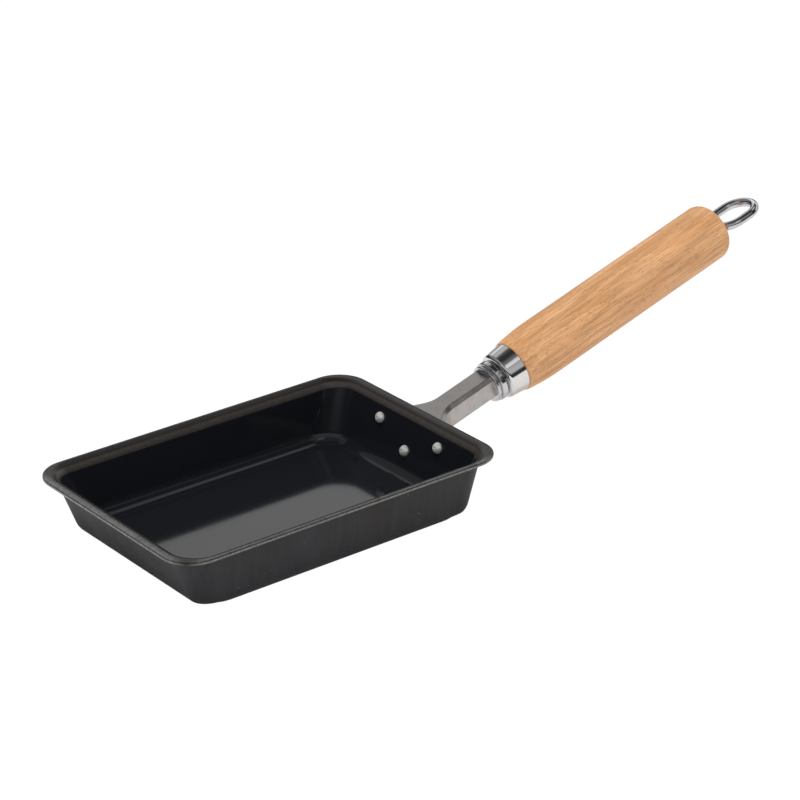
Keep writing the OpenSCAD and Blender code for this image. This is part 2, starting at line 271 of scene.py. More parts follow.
class Finish:
    """A node tree that is being built, of a material or of the world."""

    def __init__(self, owner):
        owner.use_nodes = True
        self.owner = owner
        self.tree = owner.node_tree
        self.tree.nodes.clear()

    def node(self, kind, settings=None, sockets=None, output=0):
        """Adds a node: its settings first, then values or links of its sockets."""
        made = self.tree.nodes.new(kind)
        for name, value in (settings or {}).items():
            if name == "stops":
                self._set_stops(made.color_ramp, value)
            else:
                setattr(made, name, value)
        for key, value in (sockets or {}).items():
            if isinstance(value, Wire):
                self.tree.links.new(value.socket, made.inputs[key])
            else:
                made.inputs[key].default_value = value
        return Wire(self, made.outputs[output] if made.outputs else None)

    @staticmethod
    def _set_stops(ramp, stops):
        for _ in stops[2:]:
            ramp.elements.new(0.5)
        for element, (place, shade) in zip(ramp.elements, stops):
            element.position = place
            element.color = (*shade, 1) if hasattr(shade, "__len__") else (shade,) * 3 + (1,)

    def place(self, scale=(1, 1, 1), origin=(0, 0, 0), turn=(0, 0, 0)):
        """Object coordinates about an origin, in a turned frame, stretched by scale."""
        here = self.node("ShaderNodeTexCoord", output=3)
        local = self.node(
            "ShaderNodeMapping", {"vector_type": "TEXTURE"},
            {"Vector": here, "Location": origin, "Rotation": turn},
        )
        return self.node("ShaderNodeMapping", {}, {"Vector": local, "Scale": scale})

    def noise(self, place, scale, detail=2.0, roughness=0.5, distortion=0.0):
        return self.node(
            "ShaderNodeTexNoise", {},
            {"Vector": place, "Scale": scale, "Detail": detail, "Roughness": roughness,
             "Distortion": distortion},
        )

    def split(self, vector):
        """The three components of a vector wire."""
        first = self.node("ShaderNodeSeparateXYZ", {}, {0: vector})
        return [Wire(self, socket) for socket in first.socket.node.outputs]

    def scale(self, shade, factor):
        """A colour made lighter or darker by a factor."""
        return self.node(
            "ShaderNodeVectorMath", {"operation": "SCALE"}, {0: shade, "Scale": factor}
        )

    def attribute(self, name):
        return self.node("ShaderNodeAttribute", {"attribute_name": name}, output=2)

    def mix(self, share, first, second):
        """Colour between two colours or colour wires."""
        pick = [c if isinstance(c, Wire) else (*c, 1) for c in (first, second)]
        return self.node(
            "ShaderNodeMix", {"data_type": "RGBA"}, {0: share, 6: pick[0], 7: pick[1]}, output=2
        )

    def bump(self, height, distance, strength=1.0, normal=None):
        sockets = {"Height": height, "Distance": distance, "Strength": strength}
        if normal is not None:
            sockets["Normal"] = normal
        return self.node("ShaderNodeBump", {}, sockets)

    def surface(self, **sockets):
        """Ends a material in a Principled shader."""
        named = {
            name.replace("_", " ").title().replace("Ior", "IOR"): value
            for name, value in sockets.items()
        }
        base = named.get("Base Color")
        if base is not None and not isinstance(base, Wire):
            named["Base Color"] = (*base, 1)
        shader = self.node("ShaderNodeBsdfPrincipled", {}, named)
        self.node("ShaderNodeOutputMaterial", {}, {"Surface": shader})
        return self.owner


def new_finish(name):
    return Finish(bpy.data.materials.new(name))


# Finishes


class Rim:
    """Grain of the rim, where the press stretched the coat and use has rubbed the front, with a painted
    highlight: the rim's colour is lighter on the bend next to the wall and darker out on the flat rim.
    """

    def __init__(self, finish, tray, colours):
        fold = finish.attribute("rim")
        self.share = fold.ramp(0.02, 0.12)
        here = finish.place()
        self.grain = finish.noise(here, 2600, detail=2, roughness=0.7)
        blotch = finish.noise(here, 620, detail=2)
        along, across, _ = finish.split(here)
        front = along.ramp(-tray.length / 2, tray.rim_width * 2 - tray.length / 2, 1.0, 0.0)
        near = across.ramp(-tray.width / 2, tray.rim_width * 2 - tray.width / 2, 1.0, 0.0)
        self.rubbed = fold.ramp(0.05, 0.45) * (front + (1 - front) * near * 0.9)
        self.gloss = self.rubbed * blotch.ramp(0.25, 0.65, 0.45, 1.0)
        # Painted highlight: the grain's tone is doubled on the part of the bend next to the wall and
        # dimmed to 0.6 from the top of the bend out to the cut edge.
        tone = self.grain.ramp(0.3, 0.7, 0.6, 1.5) * fold.ramp(0.40, 0.62, 2.0, 0.6)
        self.colour = finish.scale(tuple(colours.rim_coat), tone)

    def over(self, rough):
        return rough + (self.grain.ramp(0.3, 0.7, 0.26, 0.40) - rough) * self.share


def cooking_coat(scene):
    """Glossy black coat inside, with its faint orange peel."""
    colours = scene.pan_colours
    finish = new_finish("cooking_coat")
    rim = Rim(finish, scene.pan_tray, colours)
    here = finish.place()
    cloud = finish.noise(here, 38, detail=3)
    orange_peel = finish.noise(here, 260, detail=1)
    relief = rim.grain * rim.share * 0.000006 + orange_peel * (1 - rim.share) * 0.0000016
    return finish.surface(
        base_color=finish.mix(rim.share, colours.coat, rim.colour),
        roughness=rim.over(cloud.ramp(0.3, 0.7, 0.075, 0.095)), ior=1.5,
        coat_weight=rim.gloss, coat_ior=2.7, coat_roughness=0.32,
        normal=finish.bump(relief, 1.0),
    )


def outer_skin(scene):
    """Satin charcoal coat outside, with fine upright streaks, a baked tint and specks."""
    colours = scene.pan_colours
    finish = new_finish("outer_skin")
    rim = Rim(finish, scene.pan_tray, colours)
    here = finish.place()
    cloud = finish.noise(here, 38, detail=3)
    streak = finish.noise(finish.place(scale=(1, 1, 0.06)), 420, detail=3, roughness=0.6)
    broad_streak = finish.noise(finish.place(scale=(1, 1, 0.10)), 130, detail=2)
    speck = finish.noise(here, 620, detail=0).ramp(0.82, 0.85)
    upper = finish.split(here)[2].ramp(0.006, 0.020)
    skin = finish.mix(cloud.ramp(0.42, 0.62) * upper, colours.skin, colours.skin_brown)
    tone = streak.ramp(0.3, 0.7, 0.86, 1.16) * broad_streak.ramp(0.3, 0.7, 0.92, 1.10)
    skin = finish.mix(speck, finish.scale(skin, tone), colours.speck)
    relief = (rim.grain * 0.5 + streak * 0.5) * 0.000012
    return finish.surface(
        base_color=finish.mix(rim.share, skin, rim.colour),
        roughness=rim.over(cloud.ramp(0.3, 0.7, 0.40, 0.50) + streak * 0.06), ior=1.38,
        coat_weight=rim.gloss, coat_ior=2.7, coat_roughness=0.32,
        normal=finish.bump(relief, 1.0),
    )


def satin_steel(scene):
    """Neck steel with the fine mottle of tumbling."""
    finish = new_finish("satin_steel")
    here = finish.place()
    cloud = finish.noise(here, 260, detail=3)
    grit = finish.noise(here, 2300, detail=2)
    return finish.surface(
        base_color=finish.scale(tuple(scene.pan_colours.steel), cloud.ramp(0.3, 0.7, 0.88, 1.06)),
        metallic=1.0, roughness=cloud.ramp(0.3, 0.7, 0.27, 0.38),
        normal=finish.bump(grit * 0.000010, 1.0),
    )


def bright_metal(scene, name, tint, smooth, rough, metallic=1.0):
    """Polished metal whose roughness wanders a little, with hairline marks."""
    finish = new_finish(name)
    handle = scene.pan_handle
    turned = finish.place(
        scale=(30, 1, 1), origin=tuple(handle.root), turn=(0, -handle.tilt, 0)
    )
    hairline = finish.noise(turned, 180, detail=3, roughness=0.7)
    cloud = finish.noise(finish.place(), 420, detail=2)
    return finish.surface(
        base_color=finish.scale(tuple(tint), cloud.ramp(0.3, 0.7, 0.95, 1.0)), metallic=metallic,
        roughness=(cloud * 0.5 + hairline * 0.5).ramp(0.3, 0.7, smooth, rough),
        normal=finish.bump(hairline * 0.0000016 + cloud * 0.000002, 1.0),
    )


def oiled_beech(scene):
    """Straight-grained beech with pale streaks, fine pores and short dark rays."""
    colours = scene.pan_colours
    handle = scene.pan_handle
    finish = new_finish("oiled_beech")
    lie = {"origin": tuple(handle.root), "turn": (0, -handle.tilt, 0)}

    figure = finish.noise(finish.place(scale=(0.08, 1, 1), **lie), 300, detail=4, distortion=0.4)
    fibre = finish.noise(finish.place(scale=(0.035, 1, 1), **lie), 1500, detail=4, roughness=0.65)
    ring = finish.noise(finish.place(scale=(0.05, 1, 1), **lie), 420, detail=3)
    ray = finish.node(
        "ShaderNodeTexVoronoi", {"feature": "F1"},
        {"Vector": finish.place(scale=(0.2, 1, 1), **lie), "Scale": 1250, "Randomness": 1.0},
    )
    patch = finish.noise(finish.place(scale=(0.3, 1, 1), **lie), 140, detail=2)
    fleck = ray.ramp(0.16, 0.34, 1.0, 0.0) * patch.ramp(0.30, 0.52)

    base = finish.mix(figure.ramp(0.34, 0.66), colours.wood_deep, colours.wood_pale)
    lines = ring.ramp(0.40, 0.60, 0.92, 1.06) * fibre.ramp(0.32, 0.68, 0.80, 1.16)
    base = finish.mix(fleck * 0.55, finish.scale(base, lines), colours.wood_fleck)
    return finish.surface(
        base_color=base, roughness=fibre.ramp(0.3, 0.7, 0.42, 0.56), ior=1.45,
        normal=finish.bump(fibre * 0.00004 - fleck * 0.00003, 1.0),
    )


# Modelling helpers


def finished_piece(name, bm, finishes, body, nodes, place=None):
    """Makes a piece of a bmesh, puts it on its body and lets it stand for CAD nodes."""
    if place is not None:
        bmesh.ops.transform(bm, matrix=place, verts=bm.verts)
    mesh = bpy.data.meshes.new(name)
    bm.to_mesh(mesh)
    bm.free()
    for finish in finishes if isinstance(finishes, list) else [finishes]:
        mesh.materials.append(finish)
    mesh.shade_smooth()
    piece = bpy.data.objects.new(name, mesh)
    bpy.context.scene.collection.objects.link(piece)
    piece.modifiers.new("even_normals", "WEIGHTED_NORMAL")
    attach(piece, body)
    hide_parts(*nodes)
    return piece


def on_handle(scene, along=0.0):
    """Place on the handle's axis, at a distance from the wall: local +X runs outwards."""
    handle = scene.pan_handle
    return (
        Matrix.Translation(handle.root)
        @ Matrix.Rotation(-handle.tilt, 4, "Y")
        @ Matrix.Translation((along, 0, 0))
    )


def on_end_wall(scene, across, drop):
    """Place on the end wall's inner face: local +Z goes out through it, +X down it."""
    tray = scene.pan_tray
    height = tray.height - drop
    fall = tray.height - tray.rim_fold * (1 - math.sin(tray.end_lean)) - height
    inset = tray.rim_width + tray.rim_fold * math.cos(tray.end_lean)
    wall = tray.length / 2 - inset - fall * math.tan(tray.end_lean)
    return Matrix.Translation((wall, across, height)) @ Matrix.Rotation(
        math.pi / 2 + tray.end_lean, 4, "Y"
    )


def wire_line(bm, points, closed=False):
    """Chain of edges through (along, out) points in the plane y = 0."""
    verts = [bm.verts.new((along, 0, out)) for along, out in points]
    ends = verts[1:] + verts[:1] if closed else verts[1:]
    for pair in zip(verts, ends):
        bm.edges.new(pair)
    return verts


def soften(bm, verts, offset, steps=EDGE_STEPS):
    """Rounds corners of a wire line before it is turned."""
    bmesh.ops.bevel(
        bm, geom=verts, offset=offset, offset_type="OFFSET", segments=steps, profile=0.5,
        affect="VERTICES", material=-1,
    )


def turn_about_x(bm, steps=LATHE_STEPS):
    """Spins the whole wire line about X into a closed solid."""
    bmesh.ops.spin(
        bm, geom=bm.verts[:] + bm.edges[:], cent=(0, 0, 0), axis=(1, 0, 0), dvec=(0, 0, 0),
        angle=FULL_TURN, steps=steps, use_merge=True, use_normal_flip=False,
        use_duplicate=False,
    )
    bmesh.ops.remove_doubles(bm, verts=bm.verts, dist=MERGE)
    bmesh.ops.recalc_face_normals(bm, faces=bm.faces)


def extrude_loop(bm, loop):
    """Extrudes a loop of edges and returns the new edges, vertices and faces."""
    made = bmesh.ops.extrude_edge_only(bm, edges=loop)["geom"]
    edges = [g for g in made if isinstance(g, bmesh.types.BMEdge) and g.is_boundary]
    verts = [g for g in made if isinstance(g, bmesh.types.BMVert)]
    return edges, verts, [g for g in made if isinstance(g, bmesh.types.BMFace)]


# Tray


def tray_section(tray, lean, rim_width):
    """One wall's section as (inset, height, rim) stations.

    It runs from the floor's upper face up the wall, out over the rim, round its cut edge
    and back down the outside to the underside.
    """
    upright = math.pi / 2 - lean
    bends = tray.rim_fold + tray.floor_fold
    rise = tray.height - tray.sheet - bends * (1 - math.sin(lean))
    foot = rim_width + bends * math.cos(lean) + rise * math.tan(lean)
    fall = rim_width * math.tan(tray.rim_fall)

    def floor_fold(share, depth):
        turn, radius = share * upright, tray.floor_fold + depth
        return (
            foot - radius * math.sin(turn),
            tray.sheet + tray.floor_fold - radius * math.cos(turn),
        )

    def rim_fold(share, depth):
        turn, radius = share * upright, tray.rim_fold - depth
        return (
            rim_width + radius * math.sin(turn),
            tray.height - tray.rim_fold + radius * math.cos(turn),
        )

    shares = [i / FOLD_STEPS for i in range(FOLD_STEPS + 1)]
    half = []
    for depth in (0, tray.sheet):
        floor = [(*floor_fold(s, depth), 0) for s in shares]
        fold = [(*rim_fold(s, depth), 1 - s) for s in reversed(shares)]
        half.append(floor + fold + [(0, tray.height - depth - fall, 1)])
    return half[0] + half[1][::-1], foot


def tray_rings(tray):
    """Rings of the tray: insets and heights of the handle, side and front walls."""
    sections = [
        tray_section(tray, lean, rim_width) for lean, rim_width in (
            (tray.end_lean, tray.rim_width), (tray.side_lean, tray.side_rim),
            (tray.front_lean, tray.rim_width),
        )
    ]
    foot = sections[1][1]
    bend = tray.wall_corner + tray.rim_fold * math.cos(tray.side_lean)
    rings = []
    for handle, side, front in zip(*(section[0] for section in sections)):
        inset = side[0]
        if inset > (foot + tray.side_rim) / 2:
            corner = tray.floor_corner + foot - inset
        elif inset >= tray.side_rim:
            corner = bend + tray.side_rim - inset
        else:
            corner = tray.rim_corner
        rings.append({"corner": corner, "handle": handle, "side": side, "front": front})
    return rings


def ring_point(tray, ring, mark):
    """Where a vertex of the tray lies on a ring; mark is its corner's signs and its turn."""
    sign_x, sign_y, turn = mark
    inset, height = ring["handle" if sign_x > 0 else "front"][:2]
    side_inset, side_height = ring["side"][:2]
    corner = ring["corner"]
    blend = math.sin(turn) ** 2
    return (
        sign_x * (tray.length / 2 - inset - corner + corner * math.cos(turn)),
        sign_y * (tray.width / 2 - side_inset - corner + corner * math.sin(turn)),
        height * (1 - blend) + side_height * blend,
    )


def tray_shell(tray):
    """The tray's closed skin, extruded ring by ring from the floor over the rim and back."""
    rings = tray_rings(tray)
    first = rings[0]
    high_x = tray.length / 2 - first["handle"][0]
    low_x = first["front"][0] - tray.length / 2
    half_y = tray.width / 2 - first["side"][0]
    bm = bmesh.new()
    marks = bm.verts.layers.float_vector.new("corner_mark")
    rim = bm.verts.layers.float.new("rim")

    floor = bmesh.ops.create_grid(bm, x_segments=1, y_segments=1, size=0.5)["verts"]
    bmesh.ops.scale(bm, vec=(high_x - low_x, 2 * half_y, 1), verts=floor)
    bmesh.ops.translate(bm, vec=((high_x + low_x) / 2, 0, tray.sheet), verts=floor)
    soften(bm, floor, tray.floor_corner, CORNER_STEPS)
    for vert in bm.verts:
        sign_x = 1 if vert.co.x > (high_x + low_x) / 2 else -1
        sign_y = 1 if vert.co.y > 0 else -1
        middle_x = (high_x if sign_x > 0 else low_x) - sign_x * tray.floor_corner
        middle_y = sign_y * (half_y - tray.floor_corner)
        turn = math.atan2(abs(vert.co.y - middle_y), abs(vert.co.x - middle_x))
        vert[marks] = (sign_x, sign_y, turn)
    bmesh.ops.inset_region(
        bm, faces=bm.faces[:], thickness=tray.floor_border, use_even_offset=True
    )
    loop = [edge for edge in bm.edges if edge.is_boundary]
    cut_edges = []
    for number, ring in enumerate(rings[1:], 1):
        loop, verts, faces = extrude_loop(bm, loop)
        for vert in verts:
            vert.co = ring_point(tray, ring, vert[marks])
            vert[rim] = ring["side"][2]
        for face in faces:
            face.material_index = int(number >= len(rings) // 2)
        if number in (len(rings) // 2 - 1, len(rings) // 2):
            cut_edges += loop
    underside = bmesh.ops.edgeloop_fill(bm, edges=loop)["faces"]
    for face in underside:
        face.material_index = 1
    bmesh.ops.inset_region(
        bm, faces=underside, thickness=tray.floor_border, use_even_offset=True
    )
    bmesh.ops.bevel(
        bm, geom=cut_edges, offset=tray.edge_round, offset_type="OFFSET",
        segments=EDGE_STEPS, profile=0.5, affect="EDGES", material=-1,
    )
    bmesh.ops.recalc_face_normals(bm, faces=bm.faces)
    return bm


class PAN_OT_tray(bpy.types.Operator):
    """Press the tray with its folds, rolled-out rim and coat"""

    bl_idname = "pan.tray"
    bl_label = "Tray"

    def execute(self, context):
        scene = context.scene
        finished_piece(
            "coated_tray", tray_shell(scene.pan_tray),
            [cooking_coat(scene), outer_skin(scene)], "pan", ["pan_body"],
        )
        return {"FINISHED"}


# Rivets and bracket


def dome_points(radius, height, dimple=0.0, steps=14):
    """Outline of an oval dome from its pole to its rim, as (height, radius)."""
    turns = [math.pi / 2 * i / steps for i in range(steps + 1)]
    return [
        (height * math.cos(turn) - dimple * max(0, 1 - 3.2 * math.sin(turn)) ** 2,
         radius * math.sin(turn))
        for turn in turns
    ]


class PAN_OT_rivets(bpy.types.Operator):
    """Set the three domed rivets through wall and plate"""

    bl_idname = "pan.rivets"
    bl_label = "Rivets"

    def execute(self, context):
        scene = context.scene
        rivet = scene.pan_rivets
        stack = scene.pan_tray.sheet + scene.pan_bracket.plate
        finish = bright_metal(scene, "rivet_metal", scene.pan_colours.rivet, 0.30, 0.42, 0.55)
        lower = rivet.drop + rivet.row_gap * math.cos(scene.pan_tray.end_lean)
        for name, across, drop in (
            ("rivet_left", rivet.pair_offset, rivet.drop),
            ("rivet_right", -rivet.pair_offset, rivet.drop),
            ("rivet_lower", 0, lower),
        ):
            bm = bmesh.new()
            dome = dome_points(rivet.head_radius, rivet.head_height, rivet.dimple)
            head = [(-h, r) for h, r in dome]
            tail = [(stack + h, r) for h, r in dome_points(rivet.head_radius, rivet.tail_height)]
            shank = [(0, rivet.shank_radius), (stack, rivet.shank_radius)]
            wire_line(bm, head + shank + tail[::-1])
            turn_about_x(bm, LATHE_STEPS // 2)
            upright = Matrix.Rotation(-math.pi / 2, 4, "Y")
            finished_piece(
                name + "_domed", bm, finish, "pan", [name],
                on_end_wall(scene, across, drop) @ upright,
            )
        return {"FINISHED"}


def plate_solid(scene):
    """The riveted plate: tangents between three lobes, pulled to its thickness."""
    rivet, bracket = scene.pan_rivets, scene.pan_bracket
    bm = bmesh.new()
    for middle in ((0, -rivet.pair_offset), (0, rivet.pair_offset), (rivet.row_gap, 0)):
        bmesh.ops.create_circle(
            bm, segments=LATHE_STEPS // 2, radius=bracket.lobe_radius,
            matrix=Matrix.Translation((*middle, 0)),
        )
    hull = bmesh.ops.convex_hull(bm, input=bm.verts[:])
    spare = set(hull["geom_interior"] + hull["geom_unused"])
    bmesh.ops.delete(
        bm, geom=[g for g in spare if isinstance(g, bmesh.types.BMVert)], context="VERTS"
    )
    bmesh.ops.dissolve_limit(
        bm, angle_limit=math.radians(1), verts=bm.verts, edges=bm.edges
    )
    faces = bm.faces[:]
    for face in faces[1:]:
        bm.faces.remove(face)
    pulled = bmesh.ops.extrude_face_region(bm, geom=bm.faces[:], use_keep_orig=True)["geom"]
    bmesh.ops.translate(
        bm, vec=(0, 0, bracket.plate),
        verts=[g for g in pulled if isinstance(g, bmesh.types.BMVert)],
    )
    bmesh.ops.recalc_face_normals(bm, faces=bm.faces)
    sharp = [edge for edge in bm.edges if edge.calc_face_angle(0) > math.radians(45)]
    bmesh.ops.bevel(
        bm, geom=sharp, offset=bracket.edge_round, offset_type="OFFSET",
        segments=EDGE_STEPS, profile=0.5, affect="EDGES", material=-1,
    )
    return bm


def neck_solid(scene):
    """The neck: an oblong with flats on its edges, flared onto the plate, hollow in front."""
    bracket, place = scene.pan_bracket, on_handle(scene)

    def spread(along):
        share = min(max((along - bracket.plate) / bracket.flare_length, 0), 1)
        return bracket.flare_width * (1 + math.cos(math.pi * share)) / 2

    bm = bmesh.new()
    grid = bmesh.ops.create_grid(bm, x_segments=1, y_segments=1, size=0.5)["verts"]
    bmesh.ops.scale(bm, vec=(bracket.neck_height, bracket.neck_width, 1), verts=grid)
    soften(bm, grid, bracket.neck_flat, 1)
    bmesh.ops.rotate(bm, matrix=Matrix.Rotation(math.pi / 2, 3, "Y"), verts=bm.verts)
    for vert in bm.verts:
        vert.co.x = -NECK_SINK
        vert.co.y += math.copysign(bracket.flare_width, vert.co.y)
        vert.co.z += bracket.neck_rise
    stations = [bracket.plate + bracket.flare_length * i / FLARE_STEPS for i in range(FLARE_STEPS + 1)]
    loop, before = bm.edges[:], -NECK_SINK
    for along in stations + [bracket.neck_length]:
        loop, verts, _ = extrude_loop(bm, loop)
        for vert in verts:
            vert.co.x = along
            vert.co.y += math.copysign(1, vert.co.y) * (spread(along) - spread(before))
        before = along
    bmesh.ops.edgeloop_fill(bm, edges=loop)
    bmesh.ops.recalc_face_normals(bm, faces=bm.faces)
    ridges = [
        edge for edge in bm.edges
        if edge.calc_face_angle(0) > RIDGE_ANGLE and abs(edge.verts[0].co.x - edge.verts[1].co.x) > MERGE
    ]
    bmesh.ops.bevel(
        bm, geom=ridges, offset=bracket.edge_round, offset_type="OFFSET",
        segments=EDGE_STEPS, profile=0.5, affect="EDGES", material=-1,
    )
    front = max(bm.faces, key=lambda face: face.calc_center_median().x)
    bmesh.ops.inset_region(bm, faces=[front], thickness=bracket.neck_wall)
    hollow = bmesh.ops.extrude_face_region(bm, geom=[front])["geom"]
    bmesh.ops.translate(
        bm, vec=(bracket.plate + bracket.flare_length / 2 - bracket.neck_length, 0, 0),
        verts=[g for g in hollow if isinstance(g, bmesh.types.BMVert)],
    )
    bmesh.ops.transform(bm, matrix=place, verts=bm.verts)
    seat = on_end_wall(scene, 0, scene.pan_rivets.drop)
    seat_point = seat @ Vector((0, 0, scene.pan_tray.sheet + bracket.plate / 2))
    trimmed = bmesh.ops.bisect_plane(
        bm, geom=bm.verts[:] + bm.edges[:] + bm.faces[:], plane_co=seat_point,
        plane_no=seat.to_3x3() @ Vector((0, 0, 1)), clear_inner=True,
    )["geom_cut"]
    bmesh.ops.edgeloop_fill(bm, edges=[g for g in trimmed if isinstance(g, bmesh.types.BMEdge)])
    bmesh.ops.recalc_face_normals(bm, faces=bm.faces)
    return bm


class PAN_OT_bracket(bpy.types.Operator):
    """Form the riveted plate and the hollow neck behind the tray"""

    bl_idname = "pan.bracket"
    bl_label = "Bracket"

    def execute(self, context):
        scene = context.scene
        finish = satin_steel(scene)
        seat = on_end_wall(scene, 0, scene.pan_rivets.drop)
        behind = Matrix.Translation((0, 0, scene.pan_tray.sheet))
        finished_piece(
            "bracket_plate", plate_solid(scene), finish, "pan",
            ["handle_bracket"], seat @ behind,
        )
        finished_piece(
            "bracket_neck", neck_solid(scene), finish, "pan", ["handle_bracket"]
        )
        return {"FINISHED"}


class PAN_OT_plug(bpy.types.Operator):
    """Give the threaded plug inside the neck its machined finish"""

    bl_idname = "pan.plug"
    bl_label = "Plug"

    def execute(self, context):
        scene = context.scene
        finish = bright_metal(scene, "plug_steel", scene.pan_colours.plug, 0.25, 0.40)
        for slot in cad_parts["neck_plug"].material_slots:
            slot.material = finish
        return {"FINISHED"}


# Turned parts


def turned_piece(scene, name, outline, finish, place, body, node):
    """Turns a closed outline of (along, radius, softening) points about the handle's axis."""
    bm = bmesh.new()
    verts = wire_line(bm, [point[:2] for point in outline], closed=True)
    groups = {}
    for vert, point in zip(verts, outline):
        if len(point) > 2:
            groups.setdefault(point[2], []).append(vert)
    for offset, corners in groups.items():
        soften(bm, corners, offset, 2 * EDGE_STEPS)
    bmesh.ops.remove_doubles(bm, verts=bm.verts, dist=MERGE)
    turn_about_x(bm)
    return finished_piece(name, bm, finish, body, [node], place)


class PAN_OT_collar(bpy.types.Operator):
    """Turn the beaded collar and the spigot that leaves a dark gap"""

    bl_idname = "pan.collar"
    bl_label = "Collar"

    def execute(self, context):
        scene = context.scene
        handle = scene.pan_handle
        bead = handle.bead_width / 2
        groove = handle.bead_radius - 1.2 * bead
        ring = handle.collar_length - handle.ring_width
        finish = bright_metal(scene, "polished_plate", scene.pan_colours.plate, 0.10, 0.17)
        turned_piece(
            scene, "beaded_collar",
            [
                (0, handle.bore_radius),
                (0, handle.bead_radius, bead * 0.98),
                (handle.bead_width, handle.bead_radius, bead * 0.98),
                (handle.bead_width, groove),
                (ring, groove),
                (ring, handle.collar_radius, handle.ring_width * 0.30),
                (handle.collar_length, handle.collar_radius, handle.ring_width * 0.22),
                (handle.collar_length, handle.spigot_radius),
                (handle.collar_length + handle.spigot_length, handle.spigot_radius),
                (handle.collar_length + handle.spigot_length, handle.bore_radius),
            ],
            finish, on_handle(scene, scene.pan_bracket.neck_length), "pan",
            "neck_collar",
        )
        return {"FINISHED"}


def ferrule_place(scene):
    """Distance of the ferrule's front from the wall."""
    handle = scene.pan_handle
    return scene.pan_bracket.neck_length + handle.collar_length + handle.spigot_length


class PAN_OT_ferrule(bpy.types.Operator):
    """Turn the polished cup on the front of the grip"""

    bl_idname = "pan.ferrule"
    bl_label = "Ferrule"

    def execute(self, context):
        scene = context.scene
        handle = scene.pan_handle
        length, sheet = handle.ferrule_length, handle.ferrule_sheet
        widening = (handle.ferrule_back - handle.ferrule_front) / length
        finish = bpy.data.materials["polished_plate"]
        turned_piece(
            scene, "ferrule_cup",
            [
                (0, handle.bore_radius),
                (0, handle.ferrule_front, handle.ferrule_round),
                (length, handle.ferrule_back, sheet * 0.3),
                (length, handle.ferrule_back - sheet),
                (sheet, handle.ferrule_front + widening * sheet - sheet),
                (sheet, handle.bore_radius),
            ],
            finish, on_handle(scene, ferrule_place(scene)), "pan", "ferrule",
        )
        return {"FINISHED"}


class PAN_OT_grip(bpy.types.Operator):
    """Turn the beech grip with its tenon, swell, rounded end and recess"""

    bl_idname = "pan.grip"
    bl_label = "Grip"

    def execute(self, context):
        scene = context.scene
        handle = scene.pan_handle
        front = handle.ferrule_length
        end = front + handle.grip_length
        foot = handle.ferrule_back + handle.shoulder
        swell = handle.grip_radius - foot
        tenon = handle.ferrule_sheet + TENON_PLAY
        widening = (handle.ferrule_back - handle.ferrule_front) / front
        quarter = [math.pi / 2 * i / GRIP_STEPS for i in range(1, GRIP_STEPS + 1)]
        shoulder = [
            (front + handle.shoulder * 1.6 * (1 - math.cos(turn)),
             handle.ferrule_back + handle.shoulder * math.sin(turn))
            for turn in quarter[::4] + quarter[-1:]
        ]
        swelling = [
            (front + handle.swell_length * i / GRIP_STEPS, foot + swell * math.sin(turn))
            for i, turn in enumerate(quarter, 1) if i > 1
        ]
        rounding = [
            (end - handle.end_round * (1 - math.sin(turn)),
             handle.grip_radius - handle.end_round * (1 - math.cos(turn)))
            for turn in [0] + quarter
        ]
        turned_piece(
            scene, "beech_grip",
            [
                (tenon, handle.bore_radius),
                (tenon, handle.ferrule_front + widening * tenon - tenon),
                (front, handle.ferrule_back - tenon),
                (front, handle.ferrule_back),
                *shoulder, *swelling, *rounding,
                (end, handle.recess_radius, handle.recess_depth * 0.2),
                (end - handle.recess_depth, handle.recess_radius),
                (end - handle.recess_depth, handle.bore_radius),
            ],
            oiled_beech(scene), on_handle(scene, ferrule_place(scene)), "pan",
            "wood_handle",
        )
        return {"FINISHED"}


class PAN_OT_washer(bpy.types.Operator):
    """Turn the small washer under the eye"""

    bl_idname = "pan.washer"
    bl_label = "Washer"

    def execute(self, context):
        scene = context.scene
        eye = scene.pan_eye
        finish = bright_metal(scene, "washer_steel", scene.pan_colours.plate, 0.12, 0.25)
        hole = eye.wire_radius + THREAD_PLAY
        rounding = eye.washer_sheet * 0.2
        turned_piece(
            scene, "round_washer",
            [
                (0, hole), (0, eye.washer_radius, rounding),
                (eye.washer_sheet, eye.washer_radius, rounding), (eye.washer_sheet, hole),
            ],
            finish, on_handle(scene, eye.washer_place), "washer", "end_washer",
        )
        return {"FINISHED"}


# Eye


def eye_loop(bm, eye, middle):
    """The closed eye: a circle of wire swept round two half rings and two straights."""
    bend, straight = eye.width / 2, eye.length - eye.width
    start = Vector((middle - straight / 2, -bend, 0))
    circle = bmesh.ops.create_circle(
        bm, segments=WIRE_SIDES, radius=eye.wire_radius,
        matrix=Matrix.Translation(start) @ Matrix.Rotation(math.pi / 2, 4, "Y"),
    )["verts"]
    loop = list({edge for vert in circle for edge in vert.link_edges})
    for sign in (1, -1):
        loop, verts, _ = extrude_loop(bm, loop)
        bmesh.ops.translate(bm, vec=(sign * straight, 0, 0), verts=verts)
        swept = bmesh.ops.spin(
            bm, geom=loop + verts, cent=(middle + sign * straight / 2, 0, 0), axis=(0, 0, 1),
            dvec=(0, 0, 0), angle=math.pi, steps=BEND_STEPS, use_merge=False,
            use_normal_flip=False, use_duplicate=False,
        )["geom_last"]
        loop = [g for g in swept if isinstance(g, bmesh.types.BMEdge)]


